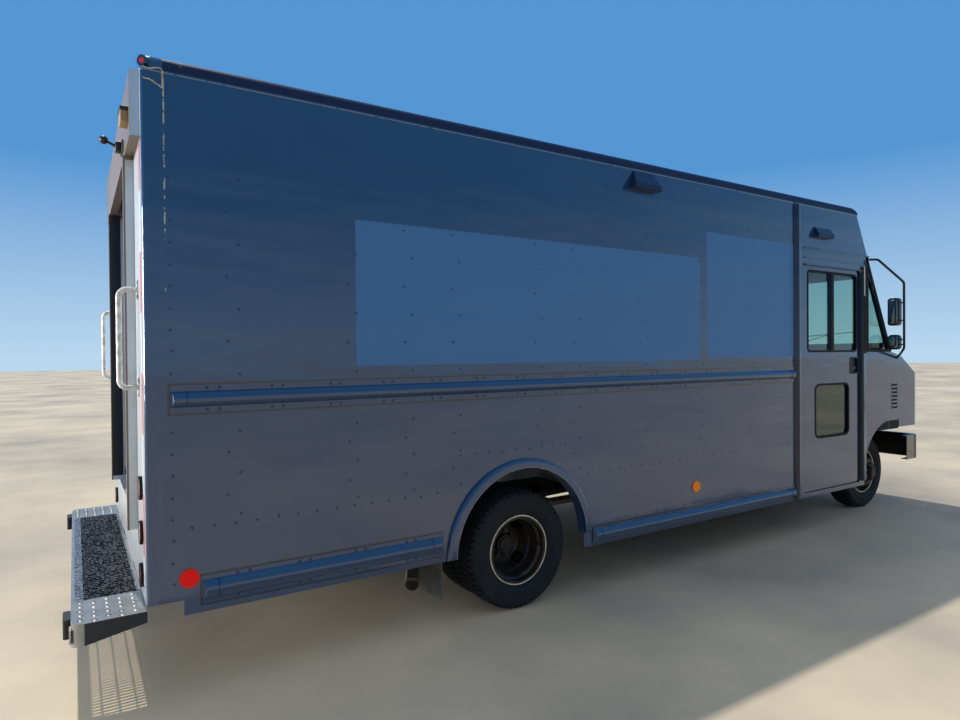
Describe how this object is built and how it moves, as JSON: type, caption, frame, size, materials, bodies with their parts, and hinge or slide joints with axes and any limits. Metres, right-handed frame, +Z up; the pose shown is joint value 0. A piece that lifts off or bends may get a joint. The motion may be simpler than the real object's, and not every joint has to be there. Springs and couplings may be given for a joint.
{
  "type": "step van",
  "caption": "Walk-in delivery step van: riveted aluminium body on a ladder frame, sliding cab doors, roll-up rear door, rear step, twin rear wheels and steered front wheels.",
  "frame": {"origin": "on the ground under the centre of the overall box", "axes": "+X forward, +Y to the vehicle's left, +Z up"},
  "size_m": [7.68, 2.732, 3.055],
  "materials": {
    "navy_paint": "gloss",
    "white_roof": "satin",
    "bare_aluminium": "satin",
    "chassis_black": "satin",
    "floor_metal": "satin",
    "exhaust_steel": "satin",
    "engine_iron": "rough",
    "knuckle_iron": "rough",
    "cab_plastic": "matte",
    "seat_vinyl": "matte",
    "black_rubber": "matte",
    "tyre_rubber": "matte",
    "wheel_steel": "satin",
    "window_glass": "clear",
    "lamp_lens": "clear",
    "red_lens": "clear",
    "amber_lens": "clear",
    "hood_plastic": "matte",
    "handle_white": "gloss"
  },
  "bodies": {
    "van_body": {"frame_rails": "chassis_black", "cross_members": "chassis_black", "spring_hangers": "chassis_black", "cab_floor": "floor_metal", "front_axle": "chassis_black", "rear_axle": "chassis_black", "springs": "chassis_black", "drive_shaft": "chassis_black", "fuel_tank": "chassis_black", "exhaust": "exhaust_steel", "engine": "engine_iron", "radiator": "engine_iron", "floor": "floor_metal", "side_left": "navy_paint", "side_right": "navy_paint", "cab_side_left": "navy_paint", "cab_side_right": "navy_paint", "roof": "white_roof", "windscreen_frame": "navy_paint", "cab_glass": "window_glass", "nose": "navy_paint", "grille": "cab_plastic", "headlamps": "lamp_lens", "engine_cover": "cab_plastic", "bulkhead": "floor_metal", "rear_frame": "bare_aluminium", "rear_door": "navy_paint", "rear_step": "bare_aluminium", "step_stops": "black_rubber", "front_bumper": "chassis_black", "mirrors": "chassis_black", "rub_rails": "navy_paint", "arch_flares": "navy_paint", "mud_flaps": "black_rubber", "grab_handles": "handle_white", "seat": "seat_vinyl", "dashboard": "cab_plastic", "steering_wheel": "cab_plastic", "tail_lamps": "red_lens", "side_lamps": "hood_plastic", "front_markers": "amber_lens"},
    "hood_panel": {"hood": "navy_paint"},
    "cab_door_left": {"door_left": "navy_paint", "door_glass_left": "window_glass"},
    "steer_fork_left": {"knuckle_left": "knuckle_iron"},
    "front_wheel_left": {"tyre_front_left": "tyre_rubber", "rim_front_left": "wheel_steel"},
    "rear_wheels_left": {"tyres_rear_left": "tyre_rubber", "rims_rear_left": "wheel_steel"},
    "cab_door_right": {"door_right": "navy_paint", "door_glass_right": "window_glass"},
    "steer_fork_right": {"knuckle_right": "knuckle_iron"},
    "front_wheel_right": {"tyre_front_right": "tyre_rubber", "rim_front_right": "wheel_steel"},
    "rear_wheels_right": {"tyres_rear_right": "tyre_rubber", "rims_rear_right": "wheel_steel"},
    "track_rod": {"tie_rod": "knuckle_iron"}
  },
  "joints": [
    {"name": "steer_left", "type": "hinge", "parent": "van_body", "child": "steer_fork_left", "pos_m": [3.106, 0.77, 0.3725], "axis": [0, 0, 1], "range_deg": [-35, 35]},
    {"name": "spin_front_left", "type": "hinge", "parent": "steer_fork_left", "child": "front_wheel_left", "pos_m": [3.106, 0.885, 0.3725], "axis": [0, 1, 0], "continuous": true},
    {"name": "spin_rear_left", "type": "hinge", "parent": "van_body", "child": "rear_wheels_left", "pos_m": [-1.415, 0.925, 0.3725], "axis": [0, 1, 0], "continuous": true},
    {"name": "slide_door_left", "type": "slide", "parent": "van_body", "child": "cab_door_left", "axis": [-1, 0, 0], "range_m": [0, 0.8]},
    {"name": "steer_right", "type": "hinge", "parent": "van_body", "child": "steer_fork_right", "pos_m": [3.106, -0.77, 0.3725], "axis": [0, 0, 1], "range_deg": [-35, 35]},
    {"name": "spin_front_right", "type": "hinge", "parent": "steer_fork_right", "child": "front_wheel_right", "pos_m": [3.106, -0.885, 0.3725], "axis": [0, 1, 0], "continuous": true},
    {"name": "spin_rear_right", "type": "hinge", "parent": "van_body", "child": "rear_wheels_right", "pos_m": [-1.415, -0.925, 0.3725], "axis": [0, 1, 0], "continuous": true},
    {"name": "slide_door_right", "type": "slide", "parent": "van_body", "child": "cab_door_right", "axis": [-1, 0, 0], "range_m": [0, 0.8]},
    {"name": "track_rod_swing", "type": "hinge", "parent": "steer_fork_left", "child": "track_rod", "pos_m": [2.936, 0.77, 0.2825], "axis": [0, 0, 1], "range_deg": [-35, 35]},
    {"name": "hood_lift", "type": "hinge", "parent": "van_body", "child": "hood_panel", "pos_m": [3.28, 0, 1.5761], "axis": [0, -1, 0], "range_deg": [0, 50]}
  ],
  "couplings": [
    {"joint": "steer_right", "follows": "steer_left", "ratio": 1},
    {"joint": "track_rod_swing", "follows": "steer_left", "ratio": -1}
  ]
}
